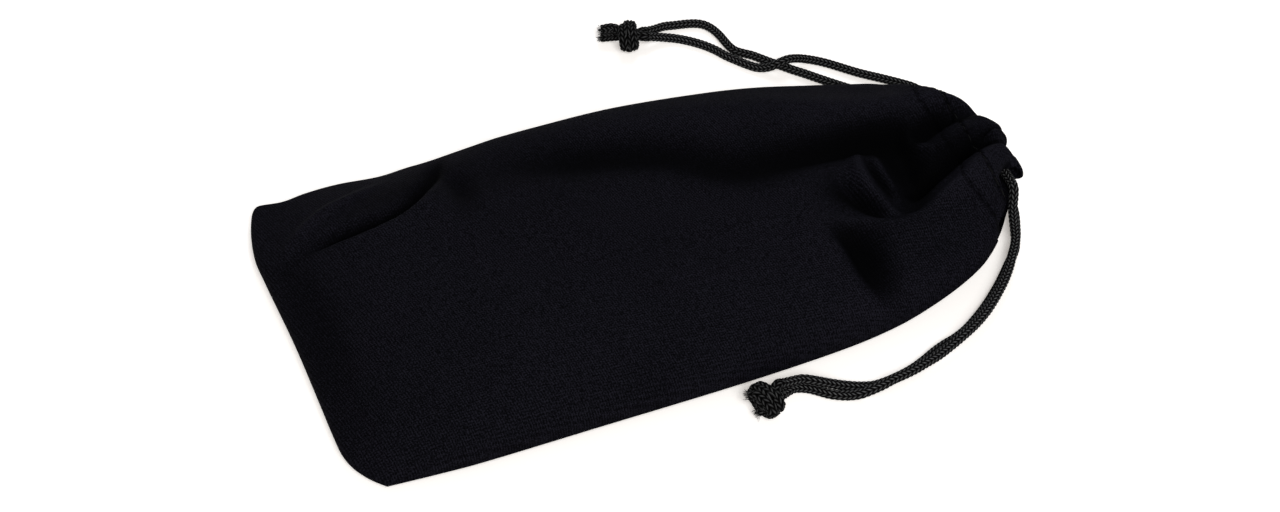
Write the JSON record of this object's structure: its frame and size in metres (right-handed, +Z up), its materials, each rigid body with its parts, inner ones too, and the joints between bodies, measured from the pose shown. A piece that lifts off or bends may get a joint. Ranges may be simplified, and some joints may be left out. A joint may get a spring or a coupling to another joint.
{
  "type": "sunglasses pouch",
  "caption": "Soft drawstring pouch for sunglasses, lying flat, with a gathered mouth drawn in by cords that pull from both sides and end in knots.",
  "frame": {"origin": "on the table under the middle of the cloth body", "axes": "+X out of the gathered mouth, +Y to the side where the longer pair of strands lies spread out, +Z up from the table"},
  "size_m": [0.1785, 0.1348, 0.0219],
  "materials": {
    "cloth": "matte brushed microfibre knit",
    "thread": "matte sewing thread",
    "braid": "braided cord with a slight sheen"
  },
  "bodies": {
    "pouch": {"back_panel": "cloth", "front_panel": "cloth", "front_hem": "cloth", "back_hem": "cloth", "near_overlock": "thread", "far_overlock": "thread", "bottom_overlock": "thread", "front_hem_stitch_lower": "thread", "front_hem_stitch_upper": "thread", "back_hem_stitch_lower": "thread", "back_hem_stitch_upper": "thread"},
    "near_drawstring": {"near_drawstring_run": "braid", "near_strand_front": "braid", "near_strand_back": "braid", "near_knot": "braid", "near_tail_front": "braid", "near_tail_back": "braid"},
    "far_drawstring": {"far_drawstring_run": "braid", "far_strand_front": "braid", "far_strand_back": "braid", "far_knot": "braid", "far_tail_front": "braid", "far_tail_back": "braid"}
  },
  "joints": [
    {"name": "near_drawstring_pull", "type": "slide", "parent": "pouch", "child": "near_drawstring", "axis": [0, -1, 0], "range_m": [0, 0.006]},
    {"name": "far_drawstring_pull", "type": "slide", "parent": "pouch", "child": "far_drawstring", "axis": [0, 1, 0], "range_m": [0, 0.006]}
  ]
}
